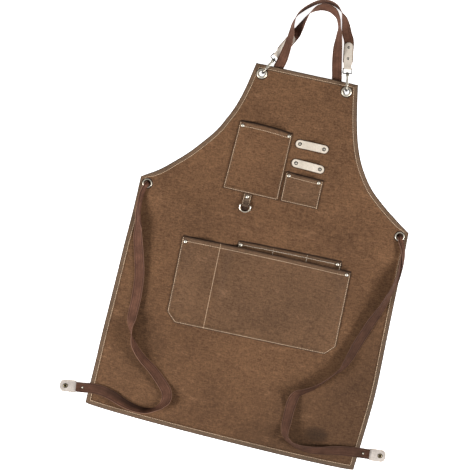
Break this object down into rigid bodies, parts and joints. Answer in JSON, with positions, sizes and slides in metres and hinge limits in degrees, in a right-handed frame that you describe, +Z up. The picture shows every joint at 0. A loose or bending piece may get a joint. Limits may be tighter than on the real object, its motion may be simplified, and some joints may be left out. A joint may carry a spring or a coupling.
{
  "type": "waterproof work apron",
  "caption": "Waxed canvas bib apron lying face up, with bib and skirt pockets, leather tool loops, a D ring, and webbing straps clipped to the bib and drawn out as waist ties.",
  "frame": {"origin": "on the flat underside of the skirt, where the apron rests on the floor, on its middle line", "axes": "+Y along the apron from the hem to the neck, +Z up through the cloth from the floor, +X to the right as seen from above"},
  "size_m": [0.7343, 0.9959, 0.0259],
  "materials": {
    "canvas": "waxed, matte",
    "webbing": "woven, matte",
    "leather": "vegetable tanned, satin",
    "nickel": "polished"
  },
  "bodies": {
    "root": {"apron_panel": "canvas", "chest_pocket": "canvas", "small_pocket": "canvas", "lower_pocket": "canvas", "pen_pocket": "canvas", "ring_tab": "canvas", "strap_a": "webbing", "strap_b": "webbing", "tool_loop_upper": "leather", "tool_loop_lower": "leather", "hook_tab_left": "leather", "hook_tab_right": "leather", "strap_tip_left": "leather", "strap_tip_right": "leather", "d_ring": "nickel", "bib_grommet_left": "nickel", "bib_grommet_right": "nickel", "waist_grommet_left": "nickel", "waist_grommet_right": "nickel", "snap_hook_left": "nickel", "snap_hook_right": "nickel", "swivel_eye_left": "nickel", "swivel_eye_right": "nickel", "tip_eyelet_left": "nickel", "tip_eyelet_right": "nickel", "chest_pocket_rivet_1": "nickel", "chest_pocket_rivet_2": "nickel", "small_pocket_rivet_1": "nickel", "small_pocket_rivet_2": "nickel", "lower_pocket_rivet_1": "nickel", "lower_pocket_rivet_2": "nickel", "pen_pocket_rivet_1": "nickel", "pen_pocket_rivet_2": "nickel", "tool_loop_upper_rivet_1": "nickel", "tool_loop_upper_rivet_2": "nickel", "tool_loop_lower_rivet_1": "nickel", "tool_loop_lower_rivet_2": "nickel", "ring_tab_rivet": "nickel", "hook_tab_left_rivet_1": "nickel", "hook_tab_left_rivet_2": "nickel", "hook_tab_right_rivet_1": "nickel", "hook_tab_right_rivet_2": "nickel", "strap_a_end_rivet": "nickel", "strap_b_end_rivet": "nickel", "waist_tie_left": "webbing", "waist_tie_right": "webbing"},
    "lever_left": {"snap_lever_left": "nickel"},
    "lever_right": {"snap_lever_right": "nickel"}
  },
  "joints": [
    {"name": "lever_left_hinge", "type": "hinge", "parent": "root", "child": "lever_left", "pos_m": [-0.07816, 0.58533, 0.0147], "axis": [0.891, -0.454, 0], "range_deg": [0, 14], "stiffness_Nm_per_rad": 0.1, "springref_deg": -11.46},
    {"name": "lever_right_hinge", "type": "hinge", "parent": "root", "child": "lever_right", "pos_m": [0.08894, 0.59315, 0.0147], "axis": [0.9833, 0.1822, 0], "range_deg": [0, 14], "stiffness_Nm_per_rad": 0.1, "springref_deg": -11.46}
  ]
}
